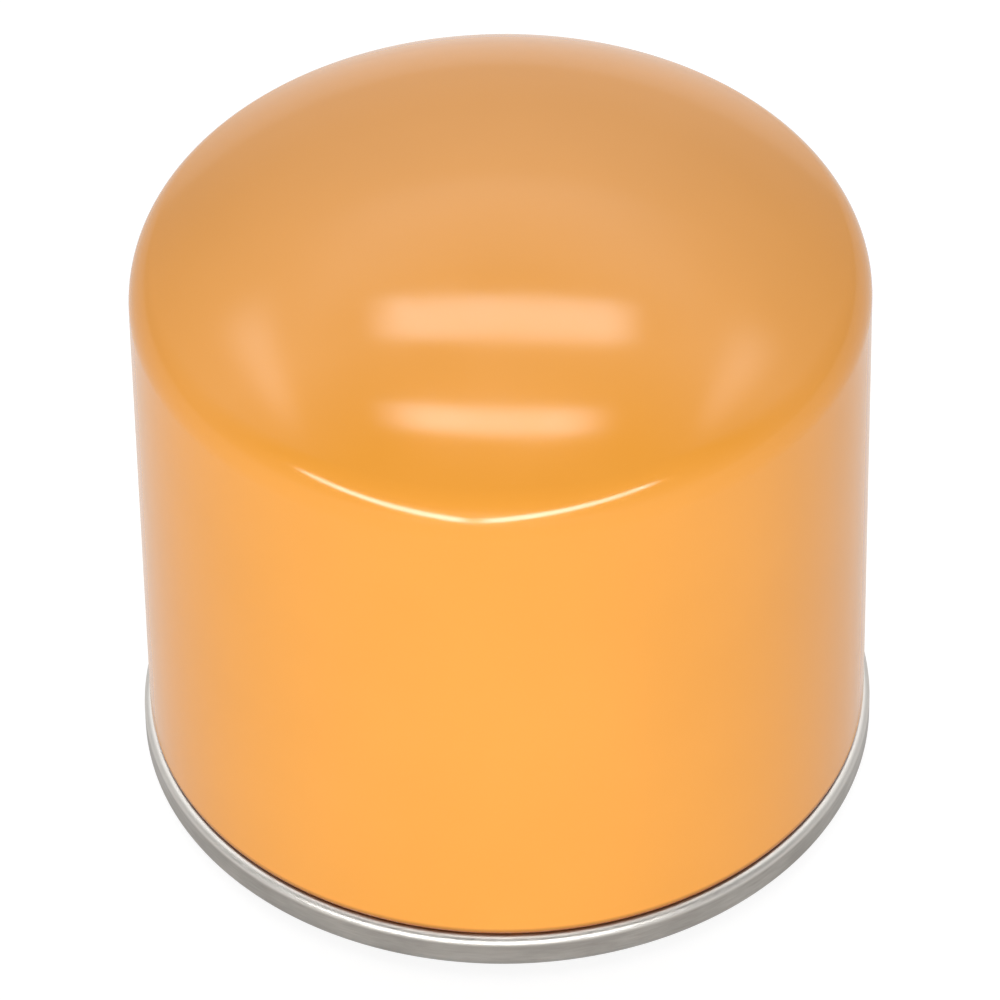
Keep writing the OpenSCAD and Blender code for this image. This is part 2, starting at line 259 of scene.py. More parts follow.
class Shape:
    """Collects one mesh, in millimetres, with a shading normal for each face corner."""

    def __init__(self):
        self.index, self.verts, self.faces, self.normals = {}, [], [], []

    def point(self, p):
        key = (round(float(p[0]), 4), round(float(p[1]), 4), round(float(p[2]), 4))
        if key not in self.index:
            self.index[key] = len(self.verts)
            self.verts.append(key)
        return self.index[key]

    def face(self, corners):
        """corners: (point, normal) round the face, which is turned over where its normals say so."""
        kept = []
        for p, n in corners:
            v = self.point(p)
            if all(v != other for other, _ in kept):
                kept.append((v, n))
        if len(kept) < 3:
            return
        a, b, c, d = (self.verts[kept[i][0]] for i in (0, 1, 2, -1))
        e = (c[0] - a[0], c[1] - a[1], c[2] - a[2])
        f = (d[0] - b[0], d[1] - b[1], d[2] - b[2])
        facing = (e[1] * f[2] - e[2] * f[1], e[2] * f[0] - e[0] * f[2], e[0] * f[1] - e[1] * f[0])
        if sum(facing[0] * n[0] + facing[1] * n[1] + facing[2] * n[2] for _, n in kept) < 0:
            kept.reverse()
        self.faces.append([v for v, _ in kept])
        self.normals += [tuple(n) for _, n in kept]

    def net(self, rows):
        """Joins rows of (point, normal) that all have the same length."""
        for above, below in zip(rows, rows[1:]):
            for k in range(len(above) - 1):
                self.face([above[k], above[k + 1], below[k + 1], below[k]])
        return self

    def turn(self, runs, segments=160, press=None):
        """Turns an outline round the axis. press may move a point and tilt its normal."""
        angles = [2 * math.pi * k / segments for k in range(segments + 1)]
        around = [(math.cos(a), math.sin(a)) for a in angles]
        for run in runs:
            rows = []
            for r, z, nr, nz in run:
                row = [((r * c, r * s, z), (nr * c, nr * s, nz)) for c, s in around]
                rows.append([press(p, n) for p, n in row] if press else row)
            self.net(rows)
        return self

    def make(self, name):
        mesh = bpy.data.meshes.new(name)
        mesh.from_pydata([(x * MM, y * MM, z * MM) for x, y, z in self.verts], [], self.faces)
        mesh.update()
        mesh.polygons.foreach_set("use_smooth", [True] * len(mesh.polygons))
        mesh.normals_split_custom_set(self.normals)
        ob = bpy.data.objects.new(name, mesh)
        bpy.context.scene.collection.objects.link(ob)
        return ob


# ---------------------------------------------------------------- materials


class Nodes:
    """A short way to write a material's node tree."""

    def __init__(self, tree):
        self.tree = tree

    def set(self, socket, value):
        if isinstance(value, bpy.types.NodeSocket):
            self.tree.links.new(value, socket)
        else:
            socket.default_value = value

    def add(self, kind, inputs=None, **settings):
        n = self.tree.nodes.new(kind)
        for k, v in settings.items():
            setattr(n, k, v)
        for k, v in (inputs or {}).items():
            self.set(n.inputs[k], v)
        return n

    def math(self, operation, a, b=0.0, clamp=False):
        return self.add("ShaderNodeMath", {0: a, 1: b}, operation=operation, use_clamp=clamp).outputs[0]

    def ramp(self, value, low, high, out_low=0.0, out_high=1.0):
        ends = {"Value": value, "From Min": low, "From Max": high, "To Min": out_low, "To Max": out_high}
        return self.add("ShaderNodeMapRange", ends).outputs[0]

    def mix(self, share, a, b):
        n = self.add("ShaderNodeMix", data_type="RGBA")
        for socket, v in zip((n.inputs[0], n.inputs[6], n.inputs[7]), (share, a, b)):
            self.set(socket, v)
        return n.outputs[2]

    def noise(self, vector, scale, detail=3.0, roughness=0.5):
        inputs = {"Vector": vector, "Scale": scale, "Detail": detail, "Roughness": roughness}
        return self.add("ShaderNodeTexNoise", inputs).outputs[0]

    def cells(self, vector, scale):
        return self.add("ShaderNodeTexVoronoi", {"Vector": vector, "Scale": scale}).outputs["Distance"]

    def place(self):
        return self.add("ShaderNodeTexCoord").outputs["Object"]

    def stretched(self, scale):
        return self.add("ShaderNodeMapping", {0: self.place(), "Scale": scale}).outputs[0]

    def polar(self):
        """Angle, distance from the axis, and height."""
        x, y, z = self.add("ShaderNodeSeparateXYZ", {0: self.place()}).outputs
        square = self.math("ADD", self.math("MULTIPLY", x, x), self.math("MULTIPLY", y, y))
        return self.math("ARCTAN2", y, x), self.math("SQRT", square), z

    def drawn_round(self, along):
        """Coordinates that draw a texture out round the axis: metres per radian is along."""
        angle, out, z = self.polar()
        length = self.math("MULTIPLY", angle, along)
        return self.add("ShaderNodeCombineXYZ", {0: length, 1: out, 2: z}).outputs[0]

    def bump(self, height, strength, distance, normal=None):
        inputs = {"Height": height, "Strength": strength, "Distance": distance}
        if normal is not None:
            inputs["Normal"] = normal
        return self.add("ShaderNodeBump", inputs).outputs[0]


def rgb(r, g, b):
    return (r, g, b, 1.0)


def grey(v):
    return rgb(v, v, v)


def new_material(name):
    m = bpy.data.materials.new(name)
    m.use_nodes = True
    m.node_tree.nodes.clear()
    return m, Nodes(m.node_tree)


def material(name, build):
    m, n = new_material(name)
    shader = n.add("ShaderNodeBsdfPrincipled")
    for socket, v in build(n).items():
        n.set(shader.inputs[socket], v)
    n.add("ShaderNodeOutputMaterial", {0: shader.outputs[0]})
    return m


def paint(n):
    """Gloss enamel with faint orange peel and a few specks. A painted shade darkens it down towards the
    seam's groove.
    """
    p = n.place()
    wide = n.noise(p, 45, 2)
    specks = n.noise(p, 5200, 1)
    colour = n.mix(n.ramp(wide, 0.35, 0.65), rgb(0.795, 0.324, 0.041), rgb(0.818, 0.335, 0.045))
    colour = n.mix(n.ramp(specks, 0.66, 0.78, 0, 0.10), colour, rgb(0.80, 0.42, 0.14))
    height = n.add("ShaderNodeSeparateXYZ", {0: p}).outputs[2]
    # painted shade: the paint turns dark brown just above the seam, where the groove lies in shade
    painted_groove_shade = n.ramp(height, (SEAM_TOP + 1.1) * MM, (SEAM_TOP + 0.45) * MM)
    return {
        "Base Color": n.mix(painted_groove_shade, colour, rgb(0.24, 0.066, 0.008)),
        "Roughness": n.ramp(n.noise(p, 160, 3), 0.3, 0.7, 0.10, 0.14),
        "IOR": 1.5,
        "Normal": n.bump(n.noise(p, 620, 2, 0.4), 0.08, 0.00002),
    }


def rolled_steel(n):
    """Bare tinned sheet, with streaks drawn round it by the seaming rolls and scorched spot welds.

    The outer half of its top fold is painted lighter, a painted highlight. A painted shade darkens the inner
    half, in the groove beside the can.
    """
    lines = n.drawn_round(0.004)
    fine = n.noise(lines, 4200, 4, 0.6)
    broad = n.noise(n.drawn_round(0.012), 420, 2)
    stains = n.noise(n.place(), 130, 3)
    colour = n.mix(n.ramp(broad, 0.3, 0.7), rgb(0.355, 0.337, 0.312), rgb(0.465, 0.445, 0.415))
    colour = n.mix(n.ramp(fine, 0.40, 0.70, 0, 0.30), colour, rgb(0.27, 0.25, 0.225))
    colour = n.mix(n.ramp(stains, 0.62, 0.78, 0, 0.25), colour, rgb(0.33, 0.30, 0.27))
    angle, out, z = n.polar()
    top = n.ramp(z, (SEAM_TOP - 1.0) * MM, (SEAM_TOP - 0.62) * MM)
    outside = n.ramp(out, (HOOK_3 + 0.20) * MM, (HOOK_3 + 0.50) * MM)
    inside = n.ramp(out, (HOOK_3 + 0.20) * MM, (HOOK_3 - 0.10) * MM)
    # painted highlight: the outer half of the top fold gets a light colour
    colour = n.mix(n.math("MULTIPLY", top, outside), colour, rgb(0.66, 0.64, 0.605))
    # painted shade: the inner half of the top fold, in the groove beside the can, turns dark brown
    painted_fold_shade = n.math("MULTIPLY", inside, n.ramp(out, (HOOK_3 - 0.45) * MM, (HOOK_3 - 0.30) * MM))
    colour = n.mix(n.math("MULTIPLY", top, painted_fold_shade), colour, rgb(0.13, 0.055, 0.015))
    turns = n.math("FRACT", n.math("ADD", n.math("MULTIPLY", angle, WELDS / (2 * math.pi)), WELDS + 0.5))
    across = n.math("MULTIPLY", n.math("SUBTRACT", turns, 0.5), 2 * math.pi * WELD_CIRCLE * MM / WELDS)
    off = n.math("SUBTRACT", out, WELD_CIRCLE * MM)
    square = n.math("ADD", n.math("MULTIPLY", across, across), n.math("MULTIPLY", off, off))
    scorch = n.ramp(n.math("SQRT", square), 0.6 * WELD_SPOT * MM, 1.7 * WELD_SPOT * MM, 0.75, 0.0)
    return {
        "Base Color": n.mix(scorch, colour, rgb(0.20, 0.145, 0.105)),
        "Metallic": 1.0,
        "Roughness": n.ramp(fine, 0.25, 0.75, 0.36, 0.48),
        "Normal": n.bump(fine, 0.12, 0.00002),
    }


def plate_steel(n):
    """Hot-rolled plate, oiled, with darker scale."""
    p = n.place()
    scale = n.noise(p, 260, 5, 0.65)
    colour = n.mix(n.ramp(scale, 0.3, 0.7), rgb(0.27, 0.262, 0.25), rgb(0.42, 0.41, 0.395))
    colour = n.mix(n.ramp(n.noise(p, 70, 2), 0.55, 0.75, 0, 0.5), colour, rgb(0.27, 0.235, 0.20))
    return {
        "Base Color": colour,
        "Metallic": 1.0,
        "Roughness": n.ramp(scale, 0.25, 0.75, 0.28, 0.48),
        "Normal": n.bump(n.noise(p, 2600, 3), 0.30, 0.00003),
    }


def zinc_steel(n):
    """Zinc-plated sheet with a faint spangle."""
    p = n.place()
    cloud = n.noise(p, 90, 4)
    colour = n.mix(n.ramp(cloud, 0.35, 0.65), rgb(0.46, 0.455, 0.43), rgb(0.62, 0.61, 0.575))
    return {
        "Base Color": n.mix(n.ramp(n.cells(p, 420.0), 0.0, 0.9, 0, 0.18), colour, rgb(0.52, 0.50, 0.42)),
        "Metallic": 1.0,
        "Roughness": n.ramp(cloud, 0.3, 0.7, 0.26, 0.44),
        "Normal": n.bump(n.noise(p, 1900, 3), 0.2, 0.00002),
    }


def spring_steel(n):
    """Oil-tempered steel, blue grey."""
    p = n.place()
    cloud = n.noise(p, 400, 4)
    return {
        "Base Color": n.mix(n.ramp(cloud, 0.3, 0.7), rgb(0.17, 0.175, 0.19), rgb(0.31, 0.31, 0.31)),
        "Metallic": 1.0,
        "Roughness": n.ramp(cloud, 0.3, 0.7, 0.22, 0.40),
        "Normal": n.bump(n.noise(p, 4000, 2), 0.2, 0.00001),
    }


def black_rubber(n):
    """Nitrile rubber with a light bloom."""
    p = n.place()
    bloom = n.noise(p, 130, 4)
    return {
        "Base Color": n.mix(n.ramp(bloom, 0.45, 0.75), grey(0.018), grey(0.040)),
        "Roughness": n.ramp(bloom, 0.3, 0.7, 0.42, 0.66),
        "Normal": n.bump(n.noise(p, 3200, 3), 0.35, 0.00003),
    }


def compound(n, dark, light):
    """Poured compound with small bubbles at its surface."""
    p = n.place()
    cloud = n.noise(p, 300, 4)
    return {
        "Base Color": n.mix(n.ramp(cloud, 0.3, 0.7), rgb(*dark), rgb(*light)),
        "Roughness": n.ramp(cloud, 0.3, 0.7, 0.38, 0.60),
        "Normal": n.bump(n.ramp(n.cells(p, 700.0), 0.0, 0.25), 0.35, 0.00008),
    }


def potting(n):
    return compound(n, (0.10, 0.082, 0.065), (0.165, 0.14, 0.115))


def sealant(n):
    return compound(n, (0.46, 0.44, 0.38), (0.60, 0.58, 0.52))


RIB_PITCH = 1.6 * MM


def filter_paper(n):
    """Resin-treated cellulose paper with fibres and fine corrugations."""
    fibres = n.noise(n.stretched((1.0, 1.0, 0.25)), 3800, 5, 0.7)
    _, _, z = n.polar()
    ribs = n.math("SINE", n.math("MULTIPLY", z, 2 * math.pi / RIB_PITCH))
    cloud = n.noise(n.place(), 120, 3)
    colour = n.mix(n.ramp(cloud, 0.3, 0.7), rgb(0.58, 0.41, 0.17), rgb(0.70, 0.53, 0.26))
    return {
        "Base Color": n.mix(n.ramp(fibres, 0.5, 0.75, 0, 0.45), colour, rgb(0.80, 0.68, 0.44)),
        "Roughness": n.ramp(fibres, 0.3, 0.7, 0.78, 0.95),
        "Normal": n.bump(fibres, 0.5, 0.00006, n.bump(ribs, 0.35, 0.00010)),
    }


PAINT = material("orange_gloss_paint", paint)
SEAM = material("rolled_tinplate", rolled_steel)
PLATE = material("oiled_plate_steel", plate_steel)
ZINC = material("zinc_sheet_steel", zinc_steel)
SPRING = material("tempered_spring_steel", spring_steel)
RUBBER = material("nitrile_rubber", black_rubber)
POTTING = material("potting_compound", potting)
SEALANT = material("seam_compound", sealant)
PAPER = material("cellulose_filter_paper", filter_paper)


def finish_piece(ob, mat, node, body="filter"):
    ob.data.materials.append(mat)
    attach(ob, body)
    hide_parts(node)
    return ob


def finish_node(node, mat):
    for slot in frame["nodes"][node].material_slots:
        slot.material = mat


# ---------------------------------------------------------------- shell


def painted_can():
    crown_mid = CROWN_R - CAN_T / 2
    knuckle_mid = KNUCKLE_R - CAN_T / 2
    can_mid = CAN_R - CAN_T / 2
    fold_r = (HOOK_4 - WALL_2) / 2
    path = [
        (0, CROWN_CENTRE + crown_mid),
        (crown_mid * math.tan((math.pi / 2 - JOIN) / 2), CROWN_CENTRE + crown_mid, crown_mid),
        (can_mid, DOME_START + knuckle_mid * math.tan(JOIN / 2), knuckle_mid),
        (can_mid, SEAM_TOP + 0.5, 0.5),
        (WALL_2, SEAM_TOP - 0.3, 0.5),
        (WALL_2, FOLD_BODY, fold_r),
        (HOOK_4, FOLD_BODY, fold_r),
        (HOOK_4, SEAM_TOP - 0.8),
    ]
    return Shape().turn(sheet_outline(path, CAN_T, 7.0), 224).make("painted_can")


def weld_dents(p, n):
    """Spot welds press shallow round dents into the underside of the cover's flat ring."""
    if n[2] > -0.99 or abs(p[2] - (PLATE_Z - COVER_T)) > 0.01:
        return p, n
    step = 2 * math.pi / WELDS
    weld = step * round(math.atan2(p[1], p[0]) / step)
    dx, dy = p[0] - WELD_CIRCLE * math.cos(weld), p[1] - WELD_CIRCLE * math.sin(weld)
    far = math.hypot(dx, dy)
    if far >= WELD_SPOT or far < 1e-6:
        return ((p[0], p[1], p[2] + WELD_DEPTH), n) if far < 1e-6 else (p, n)
    wave = math.pi * far / WELD_SPOT
    rise = WELD_DEPTH * (1 + math.cos(wave)) / 2
    slope = -WELD_DEPTH * math.pi / WELD_SPOT * math.sin(wave) / 2
    tilted = Vector((slope * dx / far, slope * dy / far, -1)).normalized()
    return (p[0], p[1], p[2] + rise), tuple(tilted)


def rolled_seam_cover():
    low_fold = (WALL_5 - WALL_1) / 2
    outer_bend, inner_bend = 0.66, WALL_5 - HOOK_3 - 0.66
    path = [
        (COVER_OPENING_R, PLATE_Z - COVER_T / 2),
        (CHANNEL_WALL, PLATE_Z - COVER_T / 2, 0.7),
        (CHANNEL_WALL, CHANNEL_TOP, 0.6),
        (WALL_1, CHANNEL_TOP, 0.8),
        (WALL_1, SEAM_BASE + COVER_T / 2, low_fold),
        (WALL_5, SEAM_BASE + COVER_T / 2, low_fold),
        (WALL_5, SEAM_TOP - COVER_T / 2, outer_bend),
        (HOOK_3, SEAM_TOP - COVER_T / 2, inner_bend),
        (HOOK_3, SEAM_BASE + 1.75),
    ]
    runs = fine_flats(sheet_outline(path, COVER_T, 10.0), 0.45)
    return Shape().turn(runs, 320, weld_dents).make("rolled_seam_cover")


def square_cut_gasket():
    outline = [
        (GASKET_RI, 0, 0.45),
        (GASKET_RO, 0, 0.45),
        (GASKET_RO, GASKET_H, 0.4),
        (GASKET_RI, GASKET_H, 0.9),
    ]
    return Shape().turn(eased_outline(outline, step=15), 192).make("square_cut_gasket")


# ---------------------------------------------------------------- thread plate


def thread_radius(z, angle):
    """The bore's surface: a right-hand thread, a chamfered mouth and a broken edge at the hub's end."""
    turns = (z - PLATE_Z) / THREAD_PITCH - angle / (2 * math.pi)
    from_root = abs(turns - math.floor(turns) - 0.5)
    root_half, flank = 0.0625, 0.282
    groove = max(0.0, min(1.0, (root_half + flank - from_root) / flank))
    run_out = max(0.0, min(1.0, HUB_TOP - 0.5 - z))
    mouth = BORE_R + BORE_MOUTH - (z - PLATE_Z)
    end = BORE_R + 0.4 - (HUB_TOP - z)
    return max(BORE_R + THREAD_DEPTH * groove * run_out, mouth, end)


def thread_row(z, segments):
    row = []
    for k in range(segments + 1):
        a = 2 * math.pi * k / segments
        r = thread_radius(z, a)
        up = (thread_radius(z + 0.02, a) - thread_radius(z - 0.02, a)) / 0.04
        round_ = (thread_radius(z, a + 0.01) - thread_radius(z, a - 0.01)) / 0.02 / r
        c, s = math.cos(a), math.sin(a)
        n = Vector((-c - round_ * s, -s + round_ * c, up)).normalized()
        row.append(((r * c, r * s, z), tuple(n)))
    return row


def sector_rim(r_in, r_out, sector):
    """Points round one sector of a flat ring, back to the first."""
    a0, a1 = (2 * math.pi * (sector + k) / INLETS for k in (0, 1))
    walk = [(r_in, a0 + (a1 - a0) * k / SECTOR_ACROSS) for k in range(SECTOR_ACROSS)]
    walk += [(r_in + (r_out - r_in) * k / SECTOR_OUT, a1) for k in range(SECTOR_OUT)]
    walk += [(r_out, a1 + (a0 - a1) * k / SECTOR_ACROSS) for k in range(SECTOR_ACROSS)]
    walk += [(r_out + (r_in - r_out) * k / SECTOR_OUT, a0) for k in range(SECTOR_OUT + 1)]
    return [(r * math.cos(a), r * math.sin(a)) for r, a in walk]


def inlet_ring(sector, r, z, inward, up):
    """A ring of (point, normal) in one inlet hole, with a point for each point of the sector's rim."""
    a = 2 * math.pi * (sector + 0.5) / INLETS
    x, y = INLET_CIRCLE * math.cos(a), INLET_CIRCLE * math.sin(a)
    away = [Vector((px - x, py - y)).normalized() for px, py in sector_rim(HUB_FOOT, RIM_START, sector)]
    return [((x + r * d.x, y + r * d.y, z), (-inward * d.x, -inward * d.y, up)) for d in away]


def pierced_face(shape, r_in, z, facing):
    """One flat face of the plate, with the inlet holes in it."""
    for sector in range(INLETS):
        rim = [((x, y, z), (0, 0, facing)) for x, y in sector_rim(r_in, RIM_START, sector)]
        shape.net([rim, inlet_ring(sector, INLET_R + INLET_EDGE, z, 0, facing)])


def inlet_walls(shape):
    """The inlet holes, with broken edges at both faces."""
    lean = math.sqrt(0.5)
    wide = INLET_R + INLET_EDGE
    low, high = PLATE_Z + INLET_EDGE, PLATE_TOP - INLET_EDGE
    stretches = [
        ((wide, PLATE_Z), (INLET_R, low), (lean, -lean)),
        ((INLET_R, low), (INLET_R, high), (1, 0)),
        ((INLET_R, high), (wide, PLATE_TOP), (lean, lean)),
    ]
    for sector in range(INLETS):
        for start, end, normal in stretches:
            shape.net([inlet_ring(sector, *start, *normal), inlet_ring(sector, *end, *normal)])


def threaded_plate():
    shape = Shape()
    segments = INLETS * SECTOR_ACROSS
    rows = math.ceil((HUB_TOP - PLATE_Z) / THREAD_PITCH * ROWS_PER_PITCH)
    shape.net([thread_row(PLATE_Z + (HUB_TOP - PLATE_Z) * i / rows, segments) for i in range(rows + 1)])
    hub = [
        (HUB_FOOT, PLATE_TOP),
        (HUB_R, PLATE_TOP, HUB_FILLET),
        (HUB_R, HUB_TOP, 0.4),
        (BORE_R + 0.4, HUB_TOP),
    ]
    rim = [
        (RIM_START, PLATE_Z),
        (PLATE_R, PLATE_Z, 0.6),
        (PLATE_R, PLATE_TOP, 0.4),
        (RIM_START, PLATE_TOP),
    ]
    for outline in (hub, rim):
        shape.turn(eased_outline(outline, step=15, closed=False), segments)
    pierced_face(shape, BORE_R + BORE_MOUTH, PLATE_Z, -1)
    pierced_face(shape, HUB_FOOT, PLATE_TOP, 1)
    inlet_walls(shape)
    return shape.make("threaded_plate")


# ---------------------------------------------------------------- valves


def valve_collar():
    outline = [
        (COLLAR_R, PLATE_TOP + 1.1, 0.15),
        (COLLAR_R + 1.1, PLATE_TOP, 0.3),
        (COLLAR_FOOT, PLATE_TOP, 0.3),
        (COLLAR_FOOT + 0.6, PLATE_TOP + 1.6, 0.4),
        (COLLAR_FOOT + 0.8, PLATE_TOP + 2.9, 0.6),
        (COLLAR_FOOT + 0.2, SHOULDER, 0.3),
        (SLEEVE_R, SHOULDER, 0.2),
        (SLEEVE_R, valve_high.z, 0.35),
        (COLLAR_R, valve_high.z, 0.2),
    ]
    return Shape().turn(eased_outline(outline), 144).make("drain_back_collar")


def valve_lip():
    root = COLLAR_FOOT - 0.3
    outline = [
        (root, PLATE_TOP + 1.7, 0.1),
        (INLET_CIRCLE, PLATE_TOP + 1.75, 2.0),
        (LIP_SEAT - 1.8, PLATE_TOP + 0.7, 1.0),
        (LIP_SEAT, PLATE_TOP, 0.8),
        (LIP_R - 0.2, PLATE_TOP, 0.1),
        (LIP_R, PLATE_TOP + 0.45, 0.2),
        (LIP_SEAT - 1.5, PLATE_TOP + 0.7 + LIP_T, 1.5),
        (INLET_CIRCLE + 0.2, PLATE_TOP + 1.75 + LIP_T, 2.5),
        (root, PLATE_TOP + 1.7 + LIP_T, 0.1),
    ]
    return Shape().turn(eased_outline(outline, step=10), 160).make("drain_back_lip")


def valve_disc():
    top = disc_high.z
    outline = [
        (0, disc_low.z),
        (BOSS_R - 0.4, disc_low.z, 0.3),
        (BOSS_R, top - DISC_T, 0.12),
        (DISC_R, top - DISC_T, 0.3),
        (DISC_R, top, 0.3),
        (0, top),
    ]
    return Shape().turn(eased_outline(outline, closed=False), 128).make("relief_valve_disc")


def valve_spring():
    """A compression spring with closed ends, wound right-hand."""
    around, steps = 18, 44
    low, high = spring_low.z + WIRE / 2, spring_high.z - WIRE / 2
    rise = high - low - 2 * CLOSED_TURNS * WIRE
    rows = []
    for i in range(COIL_TURNS * steps + 1):
        t = i / steps
        climb = min(t, CLOSED_TURNS) * WIRE + max(0.0, t - COIL_TURNS + CLOSED_TURNS) * WIRE
        active = max(0.0, min(1.0, (t - CLOSED_TURNS) / (COIL_TURNS - 2 * CLOSED_TURNS)))
        z = low + climb + active * rise
        c, s = math.cos(2 * math.pi * t), math.sin(2 * math.pi * t)
        row = []
        for j in range(around + 1):
            b = 2 * math.pi * j / around
            out, up = math.cos(b), math.sin(b)
            r = COIL_R + WIRE / 2 * out
            row.append(((r * c, r * s, z + WIRE / 2 * up), (out * c, out * s, up)))
        rows.append(row)
    shape = Shape().net(rows)
    for row, way in ((rows[0], -1), (rows[-1], 1)):
        shape.face([(p, (0, way, 0)) for p, _ in row[:-1]])
    return shape.make("relief_valve_spring")


# ---------------------------------------------------------------- filter element


def paper_side(valley_bend, tip_bend, sign):
    """One face of the folded ribbon as (x, y, normal x, normal y), back to the first point."""
    half = math.pi / PLEATS
    valley, tip = PLEAT_RI + VALLEY_HALF, PLEAT_RO - TIP_HALF
    span = math.hypot(tip * math.cos(half) - valley, tip * math.sin(half))
    heading = math.atan2(tip * math.sin(half), tip * math.cos(half) - valley)
    leave = heading + math.pi / 2 - math.asin((valley_bend + tip_bend) / span)
    arrive = leave - math.pi - half
    out = []
    for i in range(PLEATS):
        a = 2 * math.pi * i / PLEATS
        in_centre = (valley * math.cos(a), valley * math.sin(a))
        out_centre = (tip * math.cos(a + half), tip * math.sin(a + half))
        out += arc(in_centre, valley_bend, a - leave, 2 * leave - 2 * math.pi, 20, sign)
        out += arc(out_centre, tip_bend, a + half + arrive, -2 * arrive, 20, -sign)
    return out + out[:1]


def folded_paper():
    inner = paper_side(VALLEY_HALF, TIP_HALF - PAPER_T, 1)
    outer = paper_side(VALLEY_HALF - PAPER_T, TIP_HALF, -1)
    low, high = paper_low.z, paper_high.z
    shape = Shape()
    for side in (inner, outer):
        shape.net([[((x, y, z), (nx, ny, 0)) for x, y, nx, ny in side] for z in (low, high)])
    for z, facing in ((low, -1), (high, 1)):
        shape.net([[((p[0], p[1], z), (0, 0, facing)) for p in side] for side in (inner, outer)])
    return shape.make("pleated_filter_paper")


finish_piece(painted_can(), PAINT, "can")
finish_piece(rolled_seam_cover(), SEAM, "seam_cover")
finish_piece(square_cut_gasket(), RUBBER, "gasket")
finish_piece(threaded_plate(), PLATE, "thread_plate")
finish_piece(folded_paper(), PAPER, "pleated_paper")
finish_piece(valve_collar(), RUBBER, "drain_back_valve")
finish_piece(valve_disc(), ZINC, "bypass_disc", "bypass_valve")

lip = finish_piece(valve_lip(), RUBBER, "drain_back_valve")
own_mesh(lip)

spring = finish_piece(valve_spring(), SPRING, "bypass_spring")
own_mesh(spring)

for node, mat in (
    ("seam_sealant", SEALANT),
    ("lower_end_cap", ZINC),
    ("upper_end_cap", ZINC),
    ("lower_potting", POTTING),
    ("upper_potting", POTTING),
    ("paper_seam_clip", ZINC),
    ("centre_tube", ZINC),
    ("bypass_cage", ZINC),
    ("bypass_seal", RUBBER),
    ("element_spring", SPRING),
):
    finish_node(node, mat)

# ---------------------------------------------------------------- floor


FLOOR_HALF = 3.0
FLOOR_Z = -0.05 * MM  # a hair below the gasket's flat face, so that the two never share a plane
GLOW_SEEN = 0.84
GLOW_REFLECTED = 0.55
GLOW_BOUNCED = 0.42


def floor_material():
    """Pale and lit, so that it stays near white, but it throws less light on the object. Clear from below."""
    m, n = new_material("pale_floor")
    ray = n.add("ShaderNodeLightPath").outputs
    less = n.math("MULTIPLY", ray["Is Diffuse Ray"], GLOW_REFLECTED - GLOW_BOUNCED)
    more = n.math("MULTIPLY", ray["Is Camera Ray"], GLOW_SEEN - GLOW_REFLECTED)
    shader = n.add("ShaderNodeBsdfPrincipled")
    n.set(shader.inputs["Base Color"], grey(0.26))
    n.set(shader.inputs["Roughness"], 0.9)
    n.set(shader.inputs["Emission Color"], grey(1.0))
    n.set(shader.inputs["Emission Strength"], n.math("ADD", n.math("SUBTRACT", GLOW_REFLECTED, less), more))
    below = n.add("ShaderNodeNewGeometry").outputs["Backfacing"]
    clear = n.add("ShaderNodeBsdfTransparent")
    both = n.add("ShaderNodeMixShader", {0: below, 1: shader.outputs[0], 2: clear.outputs[0]})
    n.add("ShaderNodeOutputMaterial", {0: both.outputs[0]})
    return m


def stage_mesh(name, points, faces, mat):
    mesh = bpy.data.meshes.new(name)
    mesh.from_pydata(points, [], faces)
    mesh.materials.append(mat)
    ob = bpy.data.objects.new(name, mesh)
    bpy.context.scene.collection.objects.link(ob)
    return ob


floor_corners = [(FLOOR_HALF * x, FLOOR_HALF * y, FLOOR_Z) for x, y in ((-1, -1), (1, -1), (1, 1), (-1, 1))]
stage_mesh("floor", floor_corners, [(0, 1, 2, 3)], floor_material())

# ---------------------------------------------------------------- lights


def smooth(t):
    t = max(0.0, min(1.0, t))
    return t * t * (3 - 2 * t)


def glow_material(name, glow):
    """Adds light as the sheet's fade says, and hides nothing behind it."""
    m, n = new_material(name)
    fade = n.add("ShaderNodeAttribute", attribute_name="fade").outputs["Fac"]
    light = n.add("ShaderNodeEmission", {0: grey(1.0), 1: n.math("MULTIPLY", fade, glow)})
    clear = n.add("ShaderNodeBsdfTransparent")
    both = n.add("ShaderNodeAddShader", {0: light.outputs[0], 1: clear.outputs[0]})
    n.add("ShaderNodeOutputMaterial", {0: both.outputs[0]})
    return m


def light_sheet(name, glow, spot, soft_u, soft_v):
    """A glowing sheet that shows only in reflections. spot(u, v) places it, and it fades out at its rim."""
    nu, nv = 40, 16
    net = [(i / nu, j / nv) for i in range(nu + 1) for j in range(nv + 1)]
    first = [i * (nv + 1) + j for i in range(nu) for j in range(nv)]
    faces = [(a, a + 1, a + nv + 2, a + nv + 1) for a in first]
    ob = stage_mesh(name, [spot(u, v) for u, v in net], faces, glow_material(name, glow))
    fade = ob.data.attributes.new("fade", "FLOAT", "POINT")
    shares = [smooth(min(u, 1 - u) / soft_u) * smooth(min(v, 1 - v) / soft_v) for u, v in net]
    fade.data.foreach_set("value", shares)
    ob.visible_camera = ob.visible_diffuse = ob.visible_shadow = ob.visible_transmission = False
    return ob


STAGE_CENTRE = Vector((0, 0, 0.070))
CEILING = 0.70
SHEET_DISTANCE = 1.2


def ceiling_strip(name, glow, x_from, x_to, y_from, y_to, soft_u, soft_v, bow=0.35, lean=-0.05):
    """A soft box over the object. Places are shares of its height, and its ends bow towards the back."""

    def spot(u, v):
        x = x_from + (x_to - x_from) * u
        y = y_from + (y_to - y_from) * v + lean * x + bow * x * x
        return STAGE_CENTRE + CEILING * Vector((x, y, 1))

    light_sheet(name, glow, spot, soft_u, soft_v)


